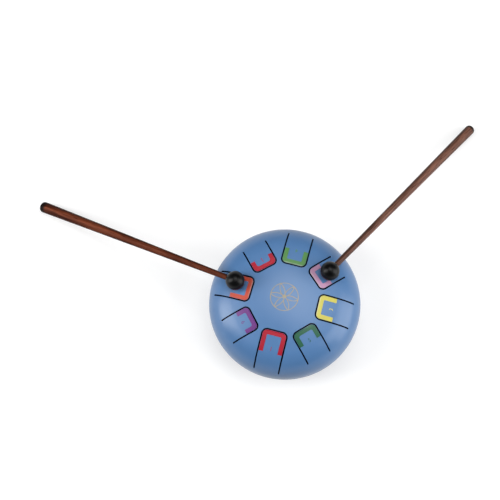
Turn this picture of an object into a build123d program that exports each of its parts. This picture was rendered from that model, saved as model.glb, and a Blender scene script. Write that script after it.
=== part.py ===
from build123d import *
import os
from math import asin, atan2, cos, degrees, hypot, radians, sin, sqrt

os.makedirs("parts", exist_ok=True)

# Steel tongue drum with eight tongues and two mallets, in millimetres.
# The origin is on the table under the drum's axis, +Z is up, and tongue 1 points at the player, along -Y.

# Shells
body_radius = 77.5
shoulder_radius = 32.0
crown_rise = 5.5
skirt_height = 4.0
base_corner_radius = 31.0
sheet = 1.4
sound_hole_radius = 22.0

# Weld between the shells: the root face left below its V groove, and how far the bead stands proud
weld_root_face = 0.5
weld_crown = 0.15

# Tongues: the slots' middle lines are a set width apart, and evenly cut neighbours leave a web of steel
slot_spacing = 25.3
slot_width = 1.5
slot_corner = 5.0
tongue_web = 4.7

# Each tongue's note, clockwise from the player's side, and its length from its tip to its root
tongue_order = (1, 6, 2, 8, 4, 7, 3, 5)
tongue_length = {1: 38.0, 2: 35.5, 3: 34.3, 4: 33.5, 5: 31.4, 6: 29.3, 7: 28.1, 8: 26.8}

# The real tongues are cut a little unevenly: each one's turn, in degrees, about a point on its middle line,
# and how far it is off its even place, sideways (anticlockwise) and outwards
tongue_middle = 50.0
tongue_turn = {1: 0.0, 2: -1.5, 3: 0.9, 4: 0.1, 5: 0.4, 6: -2.9, 7: 2.9, 8: -2.4}
tongue_sideways = {1: 0.1, 2: 0.7, 3: 0.05, 4: 0.1, 5: -0.2, 6: 0.6, 7: 0.3, 8: -0.5}
tongue_outwards = {1: 0.0, 2: -1.3, 3: -0.9, 4: -0.7, 5: 1.3, 6: 1.45, 7: -0.3, 8: -0.1}

# Coloured films at the tongues' tips: legs run outwards from the tip, and inner corners are cut round
band_film = 0.12
band_glue = 0.08
band_width = 4.3
band_margin = 0.15
band_leg = {1: 22.0, 2: 19.9, 3: 17.7, 4: 16.5, 5: 15.1, 6: 13.8, 7: 13.4, 8: 12.1}
band_inner_corner = {1: 1.0, 2: 1.0, 3: 1.0, 4: 0.9, 5: 1.6, 6: 1.8, 7: 1.2, 8: 2.4}

# Feet: rubber bumpers round the edge of the flat base, with a stepped recess for washer and screw head
foot_names = ("foot_rear_right", "foot_rear_left", "foot_front_left", "foot_front_right")
foot_first_angle = 45.0
foot_margin = 0.5
foot_rim = 2.1
foot_flare = 0.6
foot_edge = 0.6
recess_mouth_step = 0.6
recess_mouth_depth = 1.2
head_sink = 0.4
foot_web = 2.4

# Foot hardware
screw_radius = 2.0
screw_clearance = 0.25
head_radius = 3.6
head_height = 2.2
head_edge = 0.7
drive_length = 3.8
drive_width = 0.9
drive_depth = 1.1
washer_radius = 4.5
washer_thickness = 0.8
washer_clearance = 0.2
nut_across_flats = 7.0
nut_height = 3.2
nut_edge = 0.4
thread_clearance = 0.05
screw_tail = 1.0

# Mallets: reach is measured from the ball's centre to the butt end
ball_radius = 9.6
ball_wall = 6.5
ball_rest_gap = 0.3
mallet_reach = 251.9
neck_radius = 2.85
left_butt_radius = 6.0
right_butt_radius = 5.3
butt_edge = 3.2
glue_line = 0.05

# Where the mallets lie: how far in from the rim the ball rests, its bearing, and the stick's bearing
left_ball_inset = 26.4
left_ball_bearing = 177.0
left_stick_bearing = 170.0
right_ball_inset = 25.8
right_ball_bearing = 43.6
right_stick_bearing = 62.55

# Levels of the foot hardware, counted up from the table
head_level = recess_mouth_depth + head_sink
washer_level = head_level + head_height
recess_ceiling = washer_level + washer_thickness
base_level = recess_ceiling + foot_web
nut_level = base_level + sheet

# Circles of the feet, from the washer's seat outwards
shank_hole_radius = screw_radius + screw_clearance
recess_seat_radius = washer_radius + washer_clearance
recess_mouth_radius = recess_seat_radius + recess_mouth_step
foot_floor_radius = recess_mouth_radius + foot_rim
foot_top_radius = foot_floor_radius + foot_flare
foot_circle_radius = body_radius - base_corner_radius - foot_margin - foot_top_radius

# Levels of the shells, and the crown's circle, which runs smoothly into the shoulder's
skirt_level = base_level + base_corner_radius
rim_level = skirt_level + skirt_height
crown_height = shoulder_radius + crown_rise
crown_level = rim_level + crown_height
shoulder_centre = body_radius - shoulder_radius
crown_radius = (shoulder_centre**2 + crown_height**2 - shoulder_radius**2) / crown_rise / 2
crown_centre = crown_level - crown_radius
join_angle = degrees(asin(shoulder_centre / (crown_radius - shoulder_radius)))
weld_groove = sheet - weld_root_face

# Distance of the tongues' tips from the axis, where the web to the next slot is narrowest
half_pitch = radians(180 / len(tongue_order))
corner_reach = slot_corner + slot_width / 2 + tongue_web / 2
corner_offset = (slot_spacing / 2 - slot_corner) * cos(half_pitch)
tip_distance = (corner_reach + corner_offset) / sin(half_pitch) - slot_corner


def save(piece, name):
    """Label a finished piece and write it to its own file."""
    piece.part.label = name
    export_step(piece.part, f"parts/{name}.step")


def dome_layer(inside, outside):
    """Half section of a layer of the dome between two offsets from its outer skin."""
    side_angle = 90 - join_angle
    shoulder_spot = (shoulder_centre, rim_level)
    with BuildSketch(Plane.XZ) as layer:
        with BuildLine():
            top = CenterArc((0, crown_centre), crown_radius + outside, 90, -join_angle)
            outer = CenterArc(shoulder_spot, shoulder_radius + outside, side_angle, -side_angle)
            inner = CenterArc(shoulder_spot, shoulder_radius + inside, 0, side_angle)
            under = CenterArc((0, crown_centre), crown_radius + inside, side_angle, join_angle)
            Line(outer @ 1, inner @ 0)
            Line(under @ 1, top @ 0)
        make_face()
    return layer.sketch


def pan_section():
    """Half section of the bottom shell: flat base, round corner and straight skirt."""
    corner_centre = (body_radius - base_corner_radius, skirt_level)
    with BuildSketch(Plane.XZ) as section:
        with BuildLine():
            outer = CenterArc(corner_centre, base_corner_radius, -90, 90)
            inner = CenterArc(corner_centre, base_corner_radius - sheet, -90, 90)
            Polyline(outer @ 1, (body_radius, rim_level), (body_radius - sheet, rim_level), inner @ 1)
            Polyline(inner @ 0, (0, base_level + sheet), (0, base_level), outer @ 0)
        make_face()
    return section.sketch


def groove_section():
    """V section that clears both shells' edges for the weld, open past the rim."""
    with BuildSketch(Plane.XZ) as section:
        with BuildLine():
            Polyline(
                (body_radius - weld_groove, rim_level),
                (body_radius + weld_groove, rim_level + 2 * weld_groove),
                (body_radius + weld_groove, rim_level - 2 * weld_groove),
                close=True,
            )
        make_face()
    return section.sketch


def tongue_plane(note):
    """Level plane above the dome whose x axis runs outwards along a tongue's middle line."""
    bearing = radians(-90 - 360 / len(tongue_order) * tongue_order.index(note))
    turned = bearing + radians(tongue_turn[note])
    start_x = tongue_middle * (cos(bearing) - cos(turned)) - tongue_sideways[note] * sin(bearing)
    start_y = tongue_middle * (sin(bearing) - sin(turned)) + tongue_sideways[note] * cos(bearing)
    return Plane((start_x, start_y, crown_level + sheet), x_dir=(cos(turned), sin(turned), 0), z_dir=(0, 0, 1))


def slot_outline(note):
    """The U-shaped slot that frees a tongue, with round ends."""
    half = slot_spacing / 2
    tip = tip_distance + tongue_outwards[note]
    root = tip + tongue_length[note]
    with BuildSketch(tongue_plane(note)) as outline:
        with BuildLine():
            FilletPolyline((root, half), (tip, half), (tip, -half), (root, -half), radius=slot_corner)
            offset(amount=slot_width / 2)
        make_face()
    return outline.sketch


def tongue_sheet(note, inset, corner):
    """A tongue's tip as far as its band reaches, set in from the slot's middle line."""
    half = slot_spacing / 2 - inset
    tip = tip_distance + tongue_outwards[note] + inset
    end = tip_distance + tongue_outwards[note] + band_leg[note]
    with BuildSketch(tongue_plane(note)) as area:
        with BuildLine():
            tip_line = FilletPolyline((end, half), (tip, half), (tip, -half), (end, -half), radius=corner)
            Line(tip_line @ 1, tip_line @ 0)
        make_face()
    return area.sketch


# Top shell: pressed dome, grooved at the rim, with eight tongues cut free
with BuildPart() as top_shell:
    revolve(dome_layer(-sheet, 0), axis=Axis.Z)
    revolve(groove_section(), axis=Axis.Z, mode=Mode.SUBTRACT)
    for note in tongue_order:
        extrude(slot_outline(note), amount=-crown_height, mode=Mode.SUBTRACT)
save(top_shell, "top_shell")

# Bottom shell: pressed pan with the sound hole and the foot screws' holes
with BuildPart() as bottom_shell:
    revolve(pan_section(), axis=Axis.Z)
    revolve(groove_section(), axis=Axis.Z, mode=Mode.SUBTRACT)
    Hole(radius=sound_hole_radius)
    with PolarLocations(foot_circle_radius, len(foot_names), start_angle=foot_first_angle):
        Hole(radius=shank_hole_radius)
save(bottom_shell, "bottom_shell")

# Rim weld: bead that fills the groove between the shells
with BuildPart() as rim_weld:
    with BuildSketch(Plane.XZ):
        with BuildLine():
            upper_toe = (body_radius, rim_level + weld_groove)
            lower_toe = (body_radius, rim_level - weld_groove)
            Polyline(lower_toe, (body_radius - weld_groove, rim_level), upper_toe)
            ThreePointArc(upper_toe, (body_radius + weld_crown, rim_level), lower_toe)
        make_face()
    revolve(axis=Axis.Z)
save(rim_weld, "rim_weld")

# Note bands: a thin film glued on the skin of each tongue, shaped like the slot round its tip
band_inset = slot_width / 2 + band_margin
for note in sorted(tongue_order):
    with BuildPart() as note_band:
        revolve(dome_layer(band_glue, band_glue + band_film), axis=Axis.Z)
        outer_area = tongue_sheet(note, band_inset, slot_corner - band_inset)
        extrude(outer_area, amount=-crown_height, mode=Mode.INTERSECT)
        inner_area = tongue_sheet(note, band_inset + band_width, band_inner_corner[note])
        extrude(inner_area, amount=-crown_height, mode=Mode.SUBTRACT)
    save(note_band, f"note_band_{note}")

# Feet: each one a turned rubber bumper, open below for the screw head
for index, name in enumerate(foot_names):
    bearing = radians(foot_first_angle + 360 / len(foot_names) * index)
    foot_spot = Vector(foot_circle_radius * cos(bearing), foot_circle_radius * sin(bearing), 0)
    with BuildPart() as foot:
        with BuildSketch(Plane(foot_spot, x_dir=(1, 0, 0), z_dir=(0, -1, 0))) as section:
            with BuildLine():
                Polyline(
                    (recess_mouth_radius, 0),
                    (foot_floor_radius, 0),
                    (foot_top_radius, base_level),
                    (shank_hole_radius, base_level),
                    (shank_hole_radius, recess_ceiling),
                    (recess_seat_radius, recess_ceiling),
                    (recess_seat_radius, recess_mouth_depth),
                    (recess_mouth_radius, recess_mouth_depth),
                    close=True,
                )
            make_face()
            fillet(section.vertices().group_by(Axis.Y)[0].sort_by(Axis.X)[-1], radius=foot_edge)
        revolve(axis=Axis(foot_spot, (0, 0, 1)))
    save(foot, name)

# Foot hardware, from the washer under each recess's ceiling up to the nut inside the shell
with BuildPart() as foot_washers:
    with BuildSketch(Plane.XY.offset(washer_level)):
        with PolarLocations(foot_circle_radius, len(foot_names), start_angle=foot_first_angle):
            Circle(washer_radius)
            Circle(shank_hole_radius, mode=Mode.SUBTRACT)
    extrude(amount=washer_thickness)
save(foot_washers, "foot_washers")

with BuildPart() as foot_screws:
    with BuildSketch(Plane.XY.offset(head_level)):
        with PolarLocations(foot_circle_radius, len(foot_names), start_angle=foot_first_angle):
            Circle(head_radius)
    extrude(amount=head_height)
    fillet(foot_screws.edges().group_by(Axis.Z)[0], radius=head_edge)
    with BuildSketch(Plane.XY.offset(head_level)):
        with PolarLocations(foot_circle_radius, len(foot_names), start_angle=foot_first_angle):
            Rectangle(drive_length, drive_width)
            Rectangle(drive_width, drive_length)
    extrude(amount=drive_depth, mode=Mode.SUBTRACT)
    with BuildSketch(Plane.XY.offset(washer_level)):
        with PolarLocations(foot_circle_radius, len(foot_names), start_angle=foot_first_angle):
            Circle(screw_radius)
    extrude(amount=nut_level + nut_height + screw_tail - washer_level)
save(foot_screws, "foot_screws")

with BuildPart() as foot_nuts:
    with BuildSketch(Plane.XY.offset(nut_level)):
        with PolarLocations(foot_circle_radius, len(foot_names), start_angle=foot_first_angle):
            RegularPolygon(nut_across_flats / 2, 6, major_radius=False)
    extrude(amount=nut_height)
    chamfer(foot_nuts.edges().group_by(Axis.Z)[-1], length=nut_edge)
    with BuildSketch(Plane.XY.offset(nut_level)):
        with PolarLocations(foot_circle_radius, len(foot_names), start_angle=foot_first_angle):
            Circle(screw_radius + thread_clearance)
    extrude(amount=nut_height, mode=Mode.SUBTRACT)
save(foot_nuts, "foot_nuts")


def skin_level(distance, offset):
    """Level of the dome's skin, grown by an offset, at a distance from the drum's axis."""
    if distance <= (crown_radius + offset) * sin(radians(join_angle)):
        return crown_centre + sqrt((crown_radius + offset) ** 2 - distance**2)
    return rim_level + sqrt((shoulder_radius + offset) ** 2 - (distance - shoulder_centre) ** 2)


# Mallets: the ball lies on a tongue and the butt's rounded edge touches the table
mallets = {
    "left": (left_ball_inset, left_ball_bearing, left_stick_bearing, left_butt_radius),
    "right": (right_ball_inset, right_ball_bearing, right_stick_bearing, right_butt_radius),
}
for side, (ball_inset, ball_bearing, stick_bearing, butt_radius) in mallets.items():
    distance = body_radius - ball_inset
    ball_level = skin_level(distance, ball_radius + ball_rest_gap)
    edge_along = mallet_reach - butt_edge
    edge_below = butt_radius - butt_edge
    lean = asin((ball_level - butt_edge) / hypot(edge_along, edge_below)) - atan2(edge_below, edge_along)
    toward = Vector(cos(radians(stick_bearing)), sin(radians(stick_bearing)), 0)
    ball_spot = Vector(
        distance * cos(radians(ball_bearing)), distance * sin(radians(ball_bearing)), ball_level
    )
    along = toward * cos(lean) - Vector(0, 0, sin(lean))
    above = toward * sin(lean) + Vector(0, 0, cos(lean))
    mallet_plane = Plane(ball_spot, x_dir=along, z_dir=along.cross(above))
    mallet_axis = Axis(ball_spot, along)
    tenon_end = ball_wall - ball_radius

    with BuildPart() as mallet_stick:
        with BuildSketch(mallet_plane):
            with BuildLine():
                Polyline(
                    (tenon_end, 0),
                    (tenon_end, neck_radius),
                    (ball_radius, neck_radius),
                    (mallet_reach, butt_radius),
                    (mallet_reach, 0),
                    close=True,
                )
            make_face()
        revolve(axis=mallet_axis)
        fillet(mallet_stick.edges().filter_by(GeomType.CIRCLE).sort_by(mallet_axis)[-1], radius=butt_edge)
    save(mallet_stick, f"{side}_mallet_stick")

    bore_radius = neck_radius + glue_line
    with BuildPart() as mallet_head:
        with BuildSketch(mallet_plane):
            with BuildLine():
                round_side = CenterArc((0, 0), ball_radius, 0, 180)
                Line(round_side @ 1, round_side @ 0)
            make_face()
        revolve(axis=mallet_axis)
        with BuildSketch(mallet_plane):
            with BuildLine():
                Polyline(
                    (tenon_end, 0),
                    (tenon_end, bore_radius),
                    (ball_radius, bore_radius),
                    (ball_radius, 0),
                    close=True,
                )
            make_face()
        revolve(axis=mallet_axis, mode=Mode.SUBTRACT)
    save(mallet_head, f"{side}_mallet_head")

    pivot = ball_spot + along * edge_along - above * edge_below
    print(f"{side} mallet: ball at {ball_spot}, leaning {degrees(lean):.2f} degrees")
    print(f"{side} mallet turns on its butt's edge at {pivot}")

print(f"crown radius {crown_radius:.1f}, rim at {rim_level:.1f}, top at {crown_level:.1f}")
print(f"tongue tips at {tip_distance:.2f}, feet on a circle of radius {foot_circle_radius:.2f}")
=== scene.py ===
# %% [markdown]
# A steel tongue drum with its two mallets, lying on a white table. The shells, films, feet, screws
# and mallets are a finished CAD model, and it is loaded here as a fixed frame. This lesson gives
# each piece its real finish, prints the note numbers and a small ornament on the dome, and lights
# the drum as in a small photo studio. Sizes are in metres, so a value in millimetres is times mm.

# %% Load the model
from math import cos, pi, radians, sin

import bpy
from mathutils import Euler, Matrix, Vector


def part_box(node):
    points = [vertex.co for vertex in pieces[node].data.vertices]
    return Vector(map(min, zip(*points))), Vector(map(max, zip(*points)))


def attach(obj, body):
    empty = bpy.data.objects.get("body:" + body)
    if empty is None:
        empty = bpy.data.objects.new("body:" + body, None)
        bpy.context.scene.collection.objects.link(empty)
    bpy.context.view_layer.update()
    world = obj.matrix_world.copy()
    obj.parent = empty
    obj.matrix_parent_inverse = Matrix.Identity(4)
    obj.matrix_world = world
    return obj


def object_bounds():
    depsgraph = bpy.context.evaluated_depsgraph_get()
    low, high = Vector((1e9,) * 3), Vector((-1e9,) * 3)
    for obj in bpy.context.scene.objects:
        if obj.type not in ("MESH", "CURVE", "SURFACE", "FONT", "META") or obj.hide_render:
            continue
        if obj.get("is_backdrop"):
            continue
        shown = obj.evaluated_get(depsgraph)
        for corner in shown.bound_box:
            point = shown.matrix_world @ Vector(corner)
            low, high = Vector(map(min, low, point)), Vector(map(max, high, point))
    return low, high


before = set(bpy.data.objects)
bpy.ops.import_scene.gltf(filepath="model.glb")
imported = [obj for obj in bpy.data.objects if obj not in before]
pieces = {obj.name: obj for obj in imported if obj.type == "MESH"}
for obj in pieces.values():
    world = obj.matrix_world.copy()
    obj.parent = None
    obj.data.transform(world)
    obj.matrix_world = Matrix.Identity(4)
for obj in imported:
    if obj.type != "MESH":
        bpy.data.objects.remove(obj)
cad_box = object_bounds()
mm = 0.001
extent = cad_box[1] - cad_box[0]
print("loaded", len(pieces), "pieces, box", [round(v / mm, 1) for v in extent], "mm")

# %% [markdown]
# The camera looks down on the table from above the player's side. Its place could be tried by eye,
# but a camera is easier to keep when it is written as a photographer would say it: the point it is
# aimed at, how far away it stands, how much it is tilted from straight down, which way round the
# table it stands, and its roll.

# %% Set up the camera
aim = Vector((-53.18, 54.81, 0.0)) * mm
stand_off = 1083.9 * mm
tilt = radians(13.573)
around = radians(24.571)
roll = radians(-9.835)
bpy.ops.object.select_all(action="DESELECT")
bpy.ops.object.camera_add()
camera = bpy.context.object
camera.name = "studio_camera"
camera.data.sensor_width = 36.0
camera.data.lens = 72.0
turn = Euler((tilt, 0.0, around)).to_matrix().to_4x4() @ Matrix.Rotation(roll, 4, "Z")
camera.matrix_world = Matrix.Translation(aim) @ turn @ Matrix.Translation((0.0, 0.0, stand_off))
bpy.context.scene.camera = camera
print("camera at", [round(v, 4) for v in camera.matrix_world.translation])

# %% [markdown]
# Every finish below is a small tree of shader nodes. Three helpers keep the cells short. The first
# turns a colour picked as sRGB hex into the linear values that a shader works with. The second adds
# a node, sets its properties, and fills each of its inputs with a value or with a link from another
# node. The third starts an empty finish, and hands over the coordinates that its patterns use.

# %% Helpers for the finishes
def linear(hex_colour):
    """The linear colour of an sRGB hex value."""
    parts = [int(hex_colour[i : i + 2], 16) / 255 for i in (1, 3, 5)]
    return [p / 12.92 if p <= 0.04045 else ((p + 0.055) / 1.055) ** 2.4 for p in parts] + [1.0]


def add(finish, kind, inputs, **settings):
    """Add a node to a finish, with its settings, and with its inputs set or linked."""
    node = finish.node_tree.nodes.new("ShaderNode" + kind)
    for name, value in settings.items():
        setattr(node, name, value)
    for name, value in inputs.items():
        if isinstance(value, bpy.types.NodeSocket):
            finish.node_tree.links.new(value, node.inputs[name])
        else:
            node.inputs[name].default_value = value
    return node


def new_finish(name):
    """An empty finish, and the object's own coordinates to draw its patterns in."""
    finish = bpy.data.materials.new(name)
    finish.use_nodes = True
    finish.node_tree.nodes.clear()
    return finish, add(finish, "TexCoord", {}).outputs["Object"]


print("a grey of #808080 is", round(linear("#808080")[0], 3), "in linear light")

# %% [markdown]
# The shells and the weld are steel under a stoved satin enamel. Sprayed enamel dries with a faint
# orange peel, shallow hollows about a millimetre apart, and the coat is never quite even, so its
# blue drifts a little over the width of a hand. A car paint shader with flakes would be too lively:
# one coat of colour with a broad soft gloss gives the milky light on the shoulders. The inside and
# the walls of the narrow slots are drawn near black, as a dark primer that also paints the shade
# in the slots, so that the slots look like drawn black lines.

# %% Blue enamel on the shells
drum_heart = Vector((0.0, 0.0, 20 * mm))
coat_patch = 40 * mm
# Orange peel is about 0.8 mm on the real coat, and is drawn at 1.6 mm so that it shows.
peel_size = 1.6 * mm
overspray = radians(8)


def satin_enamel(name, primer_shade_angle):
    """Blue enamel on the faces that look outwards within an angle, dark primer and painted shade
    elsewhere.
    """
    enamel, place = new_finish(name)
    coat_drift = add(enamel, "TexNoise", {"Vector": place, "Scale": 1 / coat_patch, "Detail": 2.0})
    blue = add(
        enamel,
        "Mix",
        {0: coat_drift.outputs[0], 6: linear("#4e76a5"), 7: linear("#547cac")},
        data_type="RGBA",
    )
    # A face looks outwards when its normal agrees with the direction from the drum's heart to the
    # face.
    from_middle = add(enamel, "VectorMath", {0: place, 1: drum_heart}, operation="SUBTRACT")
    outwards = add(enamel, "VectorMath", {0: from_middle.outputs[0]}, operation="NORMALIZE")
    facing = add(enamel, "TexCoord", {}).outputs["Normal"]
    agreement = add(
        enamel,
        "VectorMath",
        {0: facing, 1: outwards.outputs[0]},
        operation="DOT_PRODUCT",
    )
    enamel_not_primer_shade = add(
        enamel,
        "MapRange",
        {
            "Value": agreement.outputs["Value"],
            "From Min": cos(primer_shade_angle),
            "From Max": cos(primer_shade_angle - overspray),
        },
    )
    # Near black on the faces that don't look outwards: a dark primer, which also paints the shade
    # in the slots and inside the drum.
    colour = add(
        enamel,
        "Mix",
        {0: enamel_not_primer_shade.outputs[0], 6: linear("#020409"), 7: blue.outputs[2]},
        data_type="RGBA",
    )
    peel = add(enamel, "TexNoise", {"Vector": place, "Scale": 1 / peel_size, "Detail": 1.0})
    peel_bump = add(
        enamel,
        "Bump",
        {"Height": peel.outputs[0], "Strength": 0.2, "Distance": 0.02 * mm},
    )
    satin = add(
        enamel,
        "MapRange",
        {
            "Value": coat_drift.outputs[0],
            "From Min": 0.3,
            "From Max": 0.7,
            "To Min": 0.29,
            "To Max": 0.34,
        },
    )
    gloss = add(
        enamel,
        "MapRange",
        {"Value": enamel_not_primer_shade.outputs[0], "To Min": 1.0, "To Max": satin.outputs[0]},
    )
    shader = add(
        enamel,
        "BsdfPrincipled",
        {
            "Base Color": colour.outputs[2],
            "Roughness": gloss.outputs[0],
            "Normal": peel_bump.outputs[0],
        },
    )
    add(enamel, "OutputMaterial", {"Surface": shader.outputs[0]})
    return enamel


# The dome bulges round the heart and the pan is flat, so outwards is a narrow angle on the one and
# a wide one on the other.
dome_enamel = satin_enamel("stoved_satin_enamel_blue", primer_shade_angle=radians(55))
pan_enamel = satin_enamel("stoved_satin_enamel_blue_pan", primer_shade_angle=radians(85))
pieces["top_shell"].material_slots[0].material = dome_enamel
for name in ("bottom_shell", "rim_weld"):
    pieces[name].material_slots[0].material = pan_enamel
print("enamelled the shells and the weld")

# %% [markdown]
# The coloured bands on the tongue tips are cut from vinyl film. Each film carries a painted
# highlight along its tip, and the finish has to know where that tip runs. It could be read off a
# drawing, but it is surer to measure it on the loaded films: the direction of each tongue, and the
# film's nearest point along it.

# %% Find the tips of the films
# The notes go round clockwise from the player's side. Each tongue is cut a little askew, given in
# degrees.
note_ring = (1, 6, 2, 8, 4, 7, 3, 5)
tongue_turn = {1: 0.0, 2: -1.5, 3: 0.9, 4: 0.1, 5: 0.4, 6: -2.9, 7: 2.9, 8: -2.4}


def ring_bearing(note):
    """The bearing of a note's place on the ring, in degrees, with the player's side at -90."""
    return -90 - 45 * note_ring.index(note)


def film_tip(note):
    """The direction outwards along a tongue, and how far from the drum's axis its film begins."""
    bearing = radians(ring_bearing(note) + tongue_turn[note])
    outwards = Vector((cos(bearing), sin(bearing), 0.0))
    points = pieces[f"note_band_{note}"].data.vertices
    return outwards, min(point.co.dot(outwards) for point in points)


print("films begin", [round(film_tip(note)[1] / mm, 1) for note in note_ring], "mm from the axis")

# %% [markdown]
# Calendered film comes off its rollers with a slight grain and a soft shine, and pressed on by hand
# it keeps small uneven patches. Along the tip the mallets have rubbed it smooth, and a pale painted
# highlight lies there, stronger on some notes than on others. One function makes every film,
# because only the pigment, the place and the painted highlight differ.

# %% Vinyl films on the tongues
film_patch = 5 * mm
# Roller grain is about 0.3 mm, and is drawn at 0.9 mm so that it shows.
roller_grain = 0.9 * mm
tip_length = 1.4 * mm


def vinyl_film(note, name, pigment, shade, highlight_share):
    """Soft-gloss vinyl film with an uneven pigment, and a tip that shines and has a pale painted
    highlight.
    """
    film, place = new_finish(name)
    patches = add(film, "TexNoise", {"Vector": place, "Scale": 1 / film_patch, "Detail": 3.0})
    tint = add(
        film,
        "Mix",
        {0: patches.outputs[0], 6: linear(pigment), 7: linear(shade)},
        data_type="RGBA",
    )
    outwards, begins = film_tip(note)
    along = add(film, "VectorMath", {0: place, 1: outwards}, operation="DOT_PRODUCT")
    tip = add(
        film,
        "MapRange",
        {
            "Value": along.outputs["Value"],
            "From Min": begins,
            "From Max": begins + tip_length,
            "To Min": 1.0,
            "To Max": 0.0,
        },
    )
    # Painted highlight: along the tip the colour is mixed towards a pale white, more on some notes.
    tip_highlight_patches = add(film, "Math", {0: tip.outputs[0], 1: patches.outputs[0]}, operation="MULTIPLY")
    wear_and_painted_highlight = add(film, "MapRange", {"Value": tip_highlight_patches.outputs[0], "To Max": highlight_share})
    colour = add(
        film,
        "Mix",
        {0: wear_and_painted_highlight.outputs[0], 6: tint.outputs[2], 7: linear("#e8e4da")},
        data_type="RGBA",
    )
    grain = add(film, "TexNoise", {"Vector": place, "Scale": 1 / roller_grain, "Detail": 2.0})
    bump = add(
        film,
        "Bump",
        {"Height": grain.outputs[0], "Strength": 0.2, "Distance": 0.02 * mm},
    )
    satin = add(film, "MapRange", {"Value": patches.outputs[0], "To Min": 0.28, "To Max": 0.42})
    gloss = add(
        film,
        "MapRange",
        {"Value": tip.outputs[0], "To Min": satin.outputs[0], "To Max": 0.1},
    )
    shader = add(
        film,
        "BsdfPrincipled",
        {
            "Base Color": colour.outputs[2],
            "Roughness": gloss.outputs[0],
            "Normal": bump.outputs[0],
            "IOR": 1.53,
        },
    )
    add(film, "OutputMaterial", {"Surface": shader.outputs[0]})
    return film


band_slot = {
    1: "film_red",
    2: "film_orange",
    3: "film_yellow",
    4: "film_light_green",
    5: "film_dark_green",
    6: "film_purple",
    7: "film_pink",
    8: "film_red",
}
pigments = {
    "film_red": ("#af1a2f", "#9e142a"),
    "film_orange": ("#c3472f", "#b74028"),
    "film_yellow": ("#c8bf4d", "#c0b645"),
    "film_light_green": ("#578c4d", "#4e8245"),
    "film_dark_green": ("#1c5f42", "#16543a"),
    "film_purple": ("#6a2880", "#602274"),
    "film_pink": ("#b88aab", "#ae7ea1"),
}
# How strongly each note's tip is drawn pale, as a painted highlight.
tip_highlight = {1: 0.04, 2: 0.62, 3: 0.5, 4: 0.72, 5: 0.08, 6: 0.09, 7: 0.68, 8: 0.06}
films = {}
for note, slot in band_slot.items():
    films[note] = vinyl_film(note, f"vinyl_{slot}_{note}", *pigments[slot], tip_highlight[note])
    pieces[f"note_band_{note}"].material_slots[0].material = films[note]
print("films:", ", ".join(film.name for film in films.values()))

# %% [markdown]
# The mallet sticks are turned from rosewood, and their grain runs along them. Each stick lies in
# its own direction, so its pattern has to be turned to follow it, with the ball's centre as its
# origin and its X axis down the stick. The angles could be copied from a drawing, but here they are
# measured on the loaded pieces, so they stay right if a mallet is laid down in another way.

# %% Measure the sticks
butt_depth = 0.3 * mm


def stick_place(side):
    """The ball's centre, the direction from it down the stick, and the stick's reach."""
    low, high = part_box(f"{side}_mallet_head")
    centre = (low + high) / 2
    points = [v.co - centre for v in pieces[f"{side}_mallet_stick"].data.vertices]
    longest = max(p.length for p in points)
    butt = [p for p in points if p.length > longest - butt_depth]
    middle = sum(butt, Vector()) / len(butt)
    return centre, middle.normalized(), longest


for side in ("left", "right"):
    centre, _, reach = stick_place(side)
    ball = [round(v / mm, 1) for v in centre]
    print(side, "stick reaches", round(reach / mm, 1), "mm from", ball)

# %% [markdown]
# Rosewood has long dark streaks, with fine open pores drawn out the same way, and the last few
# millimetres at the cut end are drawn nearly black. A wood picture wrapped round the stick would
# show a seam, so the streaks are a noise in space, stretched down the stick by a Mapping node, and
# the stick is turned out of it as out of a plank. Lacquer, the darker neck and end, and the painted
# shade on the flanks differ from one stick to the next, so one function takes them as values.

# %% Rosewood sticks
growth_streak = 2.5 * mm
# Open pores are about 0.2 mm wide, and are drawn at 0.6 mm so that they show.
pore_width = 0.6 * mm
# Both are 20 times as long as they are wide.
grain_squeeze = (0.05, 1.0, 1.0)
neck_start = 10 * mm
neck_end = 80 * mm
grip_length = 70 * mm
grip_stain = 0.14


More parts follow.
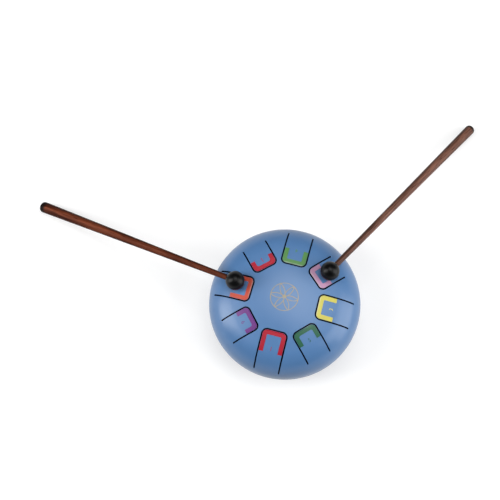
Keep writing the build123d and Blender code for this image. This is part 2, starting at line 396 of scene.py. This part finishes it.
def rosewood(side, dark_streak, pale_streak, one_flank_shade, flank_shade, neck_darkening, dark_end_depth, lacquer):
    """Lacquered rosewood with its grain along one stick, painted shade on its flanks, and a dark
    end.
    """
    centre, along, reach = stick_place(side)
    wood, place = new_finish(f"lacquered_rosewood_{side}")
    lie = along.to_track_quat("X", "Z").to_euler()
    down_stick = add(
        wood,
        "Mapping",
        {"Vector": place, "Location": centre, "Rotation": lie},
        vector_type="TEXTURE",
    ).outputs[0]
    drawn_out = add(wood, "Mapping", {"Vector": down_stick, "Scale": grain_squeeze}).outputs[0]
    streaks = add(
        wood,
        "TexNoise",
        {"Vector": drawn_out, "Scale": 1 / growth_streak, "Detail": 3.0, "Distortion": 0.6},
    )
    pores = add(wood, "TexNoise", {"Vector": drawn_out, "Scale": 1 / pore_width, "Detail": 1.0})
    pore_depth = add(
        wood,
        "MapRange",
        {"Value": pores.outputs[0], "From Min": 0.58, "From Max": 0.72},
    )
    # Painted shade: the stick is drawn darker on its flanks than on its top, and darker on one
    # flank than on the other. The bearing of a point round the stick says how far it is a flank.
    cross_section = add(
        wood,
        "VectorMath",
        {0: down_stick, 1: (0.0, 1.0, 1.0)},
        operation="MULTIPLY",
    )
    bearing = add(wood, "VectorMath", {0: cross_section.outputs[0]}, operation="NORMALIZE")
    flank = add(wood, "SeparateXYZ", {"Vector": bearing.outputs[0]})
    # Painted shade towards the flanks, more on one of them.
    painted_flank_shade = add(
        wood,
        "Math",
        {0: flank.outputs[1], 1: -flank_shade, 2: -one_flank_shade},
        operation="MULTIPLY_ADD",
    )
    # The stick is drawn darker towards the ball along its neck, and hands have darkened the grip.
    spot = add(wood, "SeparateXYZ", {"Vector": down_stick})
    neck_tone = add(
        wood,
        "MapRange",
        {
            "Value": spot.outputs[0],
            "From Min": neck_start,
            "From Max": neck_end,
            "To Min": -neck_darkening,
            "To Max": 0.0,
        },
    )
    grip_tone = add(
        wood,
        "MapRange",
        {
            "Value": spot.outputs[0],
            "From Min": reach - grip_length,
            "From Max": reach,
            "To Min": 0.0,
            "To Max": -grip_stain,
        },
    )
    neck_and_grip_tone = add(
        wood,
        "Math",
        {0: neck_tone.outputs[0], 1: grip_tone.outputs[0]},
        operation="ADD",
    )
    grain_tone = add(
        wood,
        "Math",
        {0: streaks.outputs[0], 1: neck_and_grip_tone.outputs[0]},
        operation="ADD",
    )
    grain_and_flank_shade = add(
        wood,
        "Math",
        {0: flank.outputs[1], 1: painted_flank_shade.outputs[0], 2: grain_tone.outputs[0]},
        operation="MULTIPLY_ADD",
    )
    streak_and_shade_share = add(
        wood,
        "MapRange",
        {"Value": grain_and_flank_shade.outputs[0], "From Min": 0.22, "From Max": 0.78},
    )
    streak_and_shade_colour = add(
        wood,
        "Mix",
        {0: streak_and_shade_share.outputs[0], 6: linear(dark_streak), 7: linear(pale_streak)},
        data_type="RGBA",
    )
    porous = add(
        wood,
        "Mix",
        {0: pore_depth.outputs[0], 6: streak_and_shade_colour.outputs[2], 7: linear("#2c100a")},
        data_type="RGBA",
    )
    # The last millimetres at the cut end are drawn nearly black.
    end_share = add(
        wood,
        "MapRange",
        {
            "Value": spot.outputs[0],
            "From Min": reach - dark_end_depth,
            "From Max": reach - 0.6 * dark_end_depth,
        },
    )
    colour = add(
        wood,
        "Mix",
        {0: end_share.outputs[0], 6: porous.outputs[2], 7: linear("#160c09")},
        data_type="RGBA",
    )
    gloss = add(wood, "MapRange", {"Value": pores.outputs[0], "To Min": 0.42, "To Max": 0.58})
    bump = add(
        wood,
        "Bump",
        {"Height": pore_depth.outputs[0], "Strength": 0.25, "Distance": 0.04 * mm},
        invert=True,
    )
    shader = add(
        wood,
        "BsdfPrincipled",
        {
            "Base Color": colour.outputs[2],
            "Roughness": gloss.outputs[0],
            "Normal": bump.outputs[0],
            "Specular IOR Level": lacquer,
        },
    )
    add(wood, "OutputMaterial", {"Surface": shader.outputs[0]})
    return wood


# No two sticks are cut from the same plank: the left one is redder and drier, the right one greyer,
# in part a painted sheen, and shinier, and the darker flank of their painted shade lies on opposite
# sides.
left_wood = rosewood(
    "left",
    dark_streak="#3a1609",
    pale_streak="#8c4a31",
    one_flank_shade=-0.16,
    flank_shade=0.36,
    neck_darkening=0.11,
    dark_end_depth=9.0 * mm,
    lacquer=0.06,
)
right_wood = rosewood(
    "right",
    dark_streak="#40261c",
    # Partly a painted sheen: the right stick's pale wood is drawn greyer.
    pale_streak="#986957",
    one_flank_shade=0.11,
    flank_shade=0.28,
    neck_darkening=0.22,
    dark_end_depth=5.4 * mm,
    lacquer=0.22,
)
for side, wood in (("left", left_wood), ("right", right_wood)):
    pieces[f"{side}_mallet_stick"].material_slots[0].material = wood
print("sticks turned from rosewood")

# %% [markdown]
# The mallet heads and the feet are moulded black rubber. Rubber is never quite black: it has a grey
# bloom, and the mould leaves a fine matt grain that spreads every highlight. The feet come from a
# coarser mould than the heads, so one function takes the size of the grain.

# %% Moulded rubber
bloom_patch = 6 * mm


def moulded_rubber(name, black, bloom, grain_size, low_gloss, high_gloss):
    """Matt black rubber with a grey bloom and a mould grain of a given size."""
    rubber, place = new_finish(name)
    cloud = add(rubber, "TexNoise", {"Vector": place, "Scale": 1 / bloom_patch, "Detail": 3.0})
    colour = add(
        rubber,
        "Mix",
        {0: cloud.outputs[0], 6: linear(black), 7: linear(bloom)},
        data_type="RGBA",
    )
    grain = add(rubber, "TexNoise", {"Vector": place, "Scale": 1 / grain_size, "Detail": 2.0})
    bump = add(
        rubber,
        "Bump",
        {"Height": grain.outputs[0], "Strength": 0.35, "Distance": 0.05 * mm},
    )
    gloss = add(
        rubber,
        "MapRange",
        {"Value": cloud.outputs[0], "To Min": low_gloss, "To Max": high_gloss},
    )
    shader = add(
        rubber,
        "BsdfPrincipled",
        {
            "Base Color": colour.outputs[2],
            "Roughness": gloss.outputs[0],
            "Normal": bump.outputs[0],
            "Specular IOR Level": 0.18,
        },
    )
    add(rubber, "OutputMaterial", {"Surface": shader.outputs[0]})
    return rubber


head_rubber = moulded_rubber(
    "moulded_rubber_black",
    black="#030304",
    bloom="#0a0b0c",
    grain_size=0.8 * mm,
    low_gloss=0.3,
    high_gloss=0.38,
)
foot_rubber = moulded_rubber(
    "moulded_rubber_feet",
    black="#131313",
    bloom="#222222",
    grain_size=1.2 * mm,
    low_gloss=0.6,
    high_gloss=0.75,
)
for side in ("left", "right"):
    pieces[f"{side}_mallet_head"].material_slots[0].material = head_rubber
feet = [name for name in pieces if name.startswith("foot_") and name.endswith(("left", "right"))]
for name in feet:
    pieces[name].material_slots[0].material = foot_rubber
print("rubber on the mallet heads and on", len(feet), "feet")

# %% [markdown]
# The screws, washers and nuts under the feet are bright zinc-plated steel. Zinc plating is a thin
# crystalline metal layer, bluish, with small patches of different shine where the crystals lie
# differently.

# %% Zinc-plated hardware
crystal_size = 0.7 * mm
zinc, place = new_finish("zinc_plated_steel")
crystals = add(zinc, "TexVoronoi", {"Vector": place, "Scale": 1 / crystal_size})
spangle = add(zinc, "SeparateColor", {"Color": crystals.outputs["Color"]})
zinc_colour = add(
    zinc,
    "Mix",
    {0: spangle.outputs[0], 6: linear("#b4bac0"), 7: linear("#c9ced2")},
    data_type="RGBA",
)
zinc_gloss = add(zinc, "MapRange", {"Value": spangle.outputs[1], "To Min": 0.28, "To Max": 0.45})
zinc_shader = add(
    zinc,
    "BsdfPrincipled",
    {"Base Color": zinc_colour.outputs[2], "Metallic": 1.0, "Roughness": zinc_gloss.outputs[0]},
)
add(zinc, "OutputMaterial", {"Surface": zinc_shader.outputs[0]})
for name in ("foot_screws", "foot_washers", "foot_nuts"):
    pieces[name].material_slots[0].material = zinc
print("plated the hardware")

# %% [markdown]
# Three things are printed on the dome: numbers, a dot and an ornament. A print could be an image on
# the enamel, but as a mesh of its own it stays sharp at any distance. It is modelled flat above the
# drum, dropped straight down onto the dome with a Shrinkwrap modifier, and given the thickness of a
# coat of ink by a Solidify modifier.

# %% A helper that lays a print on the dome
print_gap = 0.02 * mm
ink_thickness = 0.04 * mm
print_level = cad_box[1].z + 5 * mm


def lay_on_dome(piece, name, finish):
    """Drop a flat print onto the dome, thicken it as ink, and let it ride on the drum."""
    drop = piece.modifiers.new("drop", "SHRINKWRAP")
    drop.target = pieces["top_shell"]
    drop.wrap_method = "PROJECT"
    drop.wrap_mode = "ABOVE_SURFACE"
    drop.use_project_z = True
    drop.use_negative_direction = True
    drop.use_positive_direction = False
    drop.offset = print_gap
    bpy.ops.object.modifier_apply(modifier="drop")
    ink = piece.modifiers.new("ink", "SOLIDIFY")
    ink.thickness = ink_thickness
    ink.offset = 1.0
    bpy.ops.object.modifier_apply(modifier="ink")
    piece.name = name
    piece.data.materials.clear()
    piece.data.materials.append(finish)
    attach(piece, "drum")
    low = min(v.co.z for v in piece.data.vertices)
    print(name, "lies from", round(low / mm, 2), "mm up, with", len(piece.data.polygons), "faces")


print("the ink is", round(ink_thickness / mm, 2), "mm thick")

# %% [markdown]
# Each tongue carries its note's number, printed thin in the colour of its band and read from the
# drum's middle. Digits could be drawn line by line, but a text object has them ready made, and it
# is turned into a mesh before it is laid on the dome.

# %% Print the note numbers
# Each number stands at its own distance from the middle, and a little to the side, because the
# tongues are cut askew. Both are in millimetres, and a positive step aside is anticlockwise.
number_distance = {1: 53.0, 2: 50.0, 3: 48.0, 4: 49.5, 5: 49.3, 6: 48.0, 7: 46.0, 8: 45.2}
number_aside = {1: 0.1, 2: 0.7, 3: 0.0, 4: 0.1, 5: -0.2, 6: 0.7, 7: 0.1, 8: -0.3}
number_height = 4.0 * mm
# A digit takes up this share of the font's full height.
digit_share = 0.73


def print_spot(note, inwards=0.0):
    """The bearing of a tongue, and the place above it where its number is printed."""
    bearing = radians(ring_bearing(note))
    along = Vector((cos(bearing), sin(bearing), 0.0)) * (number_distance[note] * mm - inwards)
    aside = Vector((-sin(bearing), cos(bearing), 0.0)) * number_aside[note] * mm
    return bearing, along + aside + Vector((0.0, 0.0, print_level))


for note in note_ring:
    bearing, spot = print_spot(note)
    bpy.ops.object.select_all(action="DESELECT")
    bpy.ops.object.text_add(
        radius=number_height / digit_share,
        location=spot,
        rotation=(0.0, 0.0, bearing + pi / 2),
    )
    number = bpy.context.object
    number.data.body = "1" if note == 8 else str(note)
    number.data.align_x = "CENTER"
    number.data.align_y = "CENTER"
    bpy.ops.object.convert(target="MESH")
    number = bpy.context.object
    bpy.ops.object.transform_apply(location=True, rotation=True, scale=True)
    # A long thin face would cut through the curved skin, so the print is divided before it is laid
    # down.
    bpy.ops.object.mode_set(mode="EDIT")
    bpy.ops.mesh.select_all(action="SELECT")
    bpy.ops.mesh.subdivide(number_cuts=3)
    bpy.ops.object.mode_set(mode="OBJECT")
    lay_on_dome(number, f"number_{note}", films[note])

# %% [markdown]
# Note 8 is note 1 an octave higher, which number notation marks with a dot above the digit. The dot
# is a filled circle, laid on the dome in the same way.

# %% Print the octave dot
dot_radius = 0.4 * mm
dot_rise = 0.72 * number_height
_, dot_spot = print_spot(8, inwards=dot_rise)
bpy.ops.object.select_all(action="DESELECT")
bpy.ops.mesh.primitive_circle_add(
    vertices=16,
    radius=dot_radius,
    fill_type="TRIFAN",
    location=dot_spot,
)
octave_dot = bpy.context.object
bpy.ops.object.transform_apply(location=True, rotation=True, scale=True)
lay_on_dome(octave_dot, "number_8_dot", films[8])

# %% [markdown]
# In the middle of the dome is a small gold print: a plain six-petal rosette in a ring, drawn with
# one compass setting, as carpenters and potters have drawn it for ages. The ring is a circle whose
# edge is extruded and scaled outwards. One petal line is the part of a second circle that lies
# inside the ring, made into a ribbon in the same way, and Spin repeats it six times.

# %% Model the rosette
rosette_radius = 13.5 * mm
line_width = 0.7 * mm
petal_lines = 6
segments = 96
# Points within a thousandth of the ring count as lying on it.
ring_reach = rosette_radius * 1.001
merge_distance = 0.001 * mm


def ribbon(centre, radius):
    """Turn the selected arc into a flat ribbon by extruding it and scaling it from its centre."""
    bpy.ops.mesh.extrude_region_move()
    grow = 1 + line_width / radius
    bpy.ops.transform.resize(value=(grow, grow, 1.0), center_override=centre)


bpy.ops.object.select_all(action="DESELECT")
ring_centre = Vector((0.0, 0.0, print_level))
arc_centre = Vector((rosette_radius, 0.0, print_level))
bpy.ops.mesh.primitive_circle_add(vertices=segments, radius=rosette_radius, location=arc_centre)
rosette = bpy.context.object
bpy.ops.object.transform_apply(location=True, rotation=True, scale=True)
bpy.ops.object.mode_set(mode="EDIT")
bpy.ops.mesh.select_all(action="DESELECT")
bpy.ops.object.mode_set(mode="OBJECT")
for point in rosette.data.vertices:
    point.select = Vector((point.co.x, point.co.y)).length > ring_reach
bpy.ops.object.mode_set(mode="EDIT")
bpy.ops.mesh.delete(type="VERT")
bpy.ops.mesh.select_all(action="SELECT")
ribbon(arc_centre, rosette_radius)
bpy.ops.mesh.select_all(action="SELECT")
bpy.ops.mesh.spin(
    steps=petal_lines,
    dupli=True,
    angle=2 * pi,
    center=ring_centre,
    axis=(0.0, 0.0, 1.0),
)
bpy.ops.mesh.select_all(action="DESELECT")
bpy.ops.mesh.primitive_circle_add(vertices=segments, radius=rosette_radius, location=ring_centre)
ribbon(ring_centre, rosette_radius)
bpy.ops.mesh.select_all(action="SELECT")
bpy.ops.mesh.remove_doubles(threshold=merge_distance)
bpy.ops.mesh.normals_make_consistent(inside=False)
bpy.ops.object.mode_set(mode="OBJECT")
print("rosette has", len(rosette.data.polygons), "faces")

# %% [markdown]
# The print is gold bronze ink: fine metal powder in a varnish, so it shines less than foil, and it
# has worn thin in patches where hands rub the dome.

# %% Gold ink on the rosette
worn_patch = 2.5 * mm
gold_ink, place = new_finish("gold_bronze_ink")
wear_and_painted_highlight = add(gold_ink, "TexNoise", {"Vector": place, "Scale": 1 / worn_patch, "Detail": 3.0})
worn = add(gold_ink, "MapRange", {"Value": wear_and_painted_highlight.outputs[0], "From Min": 0.45, "From Max": 0.75})
ink_colour = add(
    gold_ink,
    "Mix",
    {0: worn.outputs[0], 6: linear("#a2946c"), 7: linear("#87919c")},
    data_type="RGBA",
)
ink_gloss = add(gold_ink, "MapRange", {"Value": wear_and_painted_highlight.outputs[0], "To Min": 0.4, "To Max": 0.6})
ink_shader = add(
    gold_ink,
    "BsdfPrincipled",
    {"Base Color": ink_colour.outputs[2], "Metallic": 0.4, "Roughness": ink_gloss.outputs[0]},
)
add(gold_ink, "OutputMaterial", {"Surface": ink_shader.outputs[0]})
bpy.context.view_layer.objects.active = rosette
lay_on_dome(rosette, "gold_rosette", gold_ink)

# %% [markdown]
# The table is a wide white sweep. To stay white without more light on the drum itself, its finish
# glows for the camera and for reflections only: a little round the drum, where the plain sheet
# under the glow takes the soft shadow, and more farther out, where the lamps hardly reach. From
# below the sheet is left out, so that the feet and the sound hole can be looked at.

# %% Table
# The sheet is 60 m wide, so that its edge stays out of sight.
table_size = 60.0
near_drum = 0.3
far_out = 1.3
near_glow = 0.47
far_glow = 1.0
bpy.ops.object.select_all(action="DESELECT")
bpy.ops.mesh.primitive_plane_add(size=table_size, location=(0.0, 0.0, 0.0))
table = bpy.context.object
table.name = "white_table"
paper, place = new_finish("white_paper_sweep")
rays = add(paper, "LightPath", {})
seen_or_mirrored = add(
    paper,
    "Math",
    {0: rays.outputs["Is Camera Ray"], 1: rays.outputs["Is Glossy Ray"]},
    operation="MAXIMUM",
)
seen = add(
    paper,
    "Math",
    {0: seen_or_mirrored.outputs[0], 1: rays.outputs["Is Transmission Ray"]},
    operation="MAXIMUM",
)
from_drum = add(paper, "VectorMath", {0: place}, operation="LENGTH")
glow_by_place = add(
    paper,
    "MapRange",
    {
        "Value": from_drum.outputs["Value"],
        "From Min": near_drum,
        "From Max": far_out,
        "To Min": near_glow,
        "To Max": far_glow,
    },
)
glow_level = add(
    paper,
    "Math",
    {0: seen.outputs[0], 1: glow_by_place.outputs[0]},
    operation="MULTIPLY",
)
glow = add(paper, "Emission", {"Color": linear("#ffffff"), "Strength": glow_level.outputs[0]})
# The drum's lower edge is deep blue, so the sheet throws less light back up at it than its white
# would.
sheet_tone = add(
    paper,
    "Mix",
    {0: rays.outputs["Is Diffuse Ray"], 6: linear("#c8c8c8"), 7: linear("#909090")},
    data_type="RGBA",
)
sheet = add(paper, "BsdfDiffuse", {"Color": sheet_tone.outputs[2]})
both = add(paper, "AddShader", {0: glow.outputs[0], 1: sheet.outputs[0]})
sheet_side = add(paper, "NewGeometry", {})
nothing = add(paper, "BsdfTransparent", {})
one_sided = add(
    paper,
    "MixShader",
    {0: sheet_side.outputs["Backfacing"], 1: both.outputs[0], 2: nothing.outputs[0]},
)
add(paper, "OutputMaterial", {"Surface": one_sided.outputs[0]})
table.data.materials.append(paper)
table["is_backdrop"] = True
print("table is", round(table.dimensions.x, 1), "m wide")

# %% [markdown]
# The light is a tall soft box on either side and a wide one high up, a little behind the drum. The
# side boxes make the pale sheen on the drum's left and right shoulders and leave the near and far
# shoulders in deeper blue, and the high one lights the crown. Each box is an area lamp turned
# towards the drum, and its place is said by its bearing round the table, its height as an angle,
# and its distance.

# %% Lights
drum_middle = Vector((0.0, 0.0, 0.05))


def soft_box(name, bearing, elevation, distance, width, height, radiance):
    """An area lamp of a given size and brightness that faces the drum."""
    turn, rise = radians(bearing), radians(elevation)
    ray = Vector((cos(rise) * cos(turn), cos(rise) * sin(turn), sin(rise)))
    bpy.ops.object.light_add(
        type="AREA",
        location=drum_middle + ray * distance,
        rotation=ray.to_track_quat("Z", "Y").to_euler(),
    )
    lamp = bpy.context.object
    lamp.name = name
    lamp.data.shape = "RECTANGLE"
    lamp.data.size = width
    lamp.data.size_y = height
    # A flat lamp of 1 square metre that gives pi watts has a radiance of 1, as bright as white
    # paper.
    lamp.data.energy = radiance * pi * width * height
    lamp.visible_camera = False
    print(name, "gives", round(lamp.data.energy, 1), "W")


soft_box(
    "left_box",
    bearing=198.0,
    elevation=35.0,
    distance=1.2,
    width=0.5,
    height=1.2,
    radiance=6.6,
)
soft_box(
    "right_box",
    bearing=5.0,
    elevation=26.0,
    distance=1.2,
    width=0.9,
    height=1.3,
    radiance=3.85,
)
soft_box(
    "high_box",
    bearing=70.0,
    elevation=78.0,
    distance=1.4,
    width=0.95,
    height=0.65,
    radiance=4.3,
)

# %% [markdown]
# Round about is the rest of the studio: a dim room with a low pale wall round the table. Only
# reflections see the wall, and the camera sees white wherever it looks past the table, so the
# background is pale without more light on the drum. The world draws the wall with the height of the
# direction that a ray leaves in.

# %% Pale wall and a dim room
room_light = 0.04
wall_light = 0.6
# Heights are those of the ray's direction: 0 is level, and 1 is straight up.
wall_top = 0.08
wall_fades_by = 0.2
studio = bpy.data.worlds.new("white_studio")
bpy.context.scene.world = studio
studio.use_nodes = True
studio.node_tree.nodes.clear()
direction = add(studio, "TexCoord", {})
height = add(studio, "SeparateXYZ", {"Vector": direction.outputs["Generated"]})
wall = add(
    studio,
    "MapRange",
    {
        "Value": height.outputs[2],
        "From Min": wall_top,
        "From Max": wall_fades_by,
        "To Min": wall_light,
        "To Max": room_light,
    },
)
wall_rays = add(studio, "LightPath", {})
wall_seen = add(
    studio,
    "Math",
    {0: wall_rays.outputs["Is Glossy Ray"], 1: wall_rays.outputs["Is Transmission Ray"]},
    operation="MAXIMUM",
)
room = add(
    studio,
    "MapRange",
    {"Value": wall_seen.outputs[0], "To Min": room_light, "To Max": wall.outputs[0]},
)
backdrop = add(
    studio,
    "Math",
    {0: room.outputs[0], 1: wall_rays.outputs["Is Camera Ray"]},
    operation="MAXIMUM",
)
walls = add(studio, "Background", {"Color": linear("#ffffff"), "Strength": backdrop.outputs[0]})
add(studio, "OutputWorld", {"Surface": walls.outputs[0]})
print("the studio has", len(bpy.data.lights), "lamps")
bpy.context.scene.view_settings.view_transform = "Standard"

# %% [markdown]
# The finished look must not change the drum's size. The box of the CAD model and the box of what is
# shown are compared, and how much the shown box grows is printed.

# %% Compare the sizes and finish
shown_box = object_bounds()
growth = [round((a - b) / mm, 2) for a, b in zip(shown_box[1], cad_box[1])]
print("shown box grows by", growth, "mm")
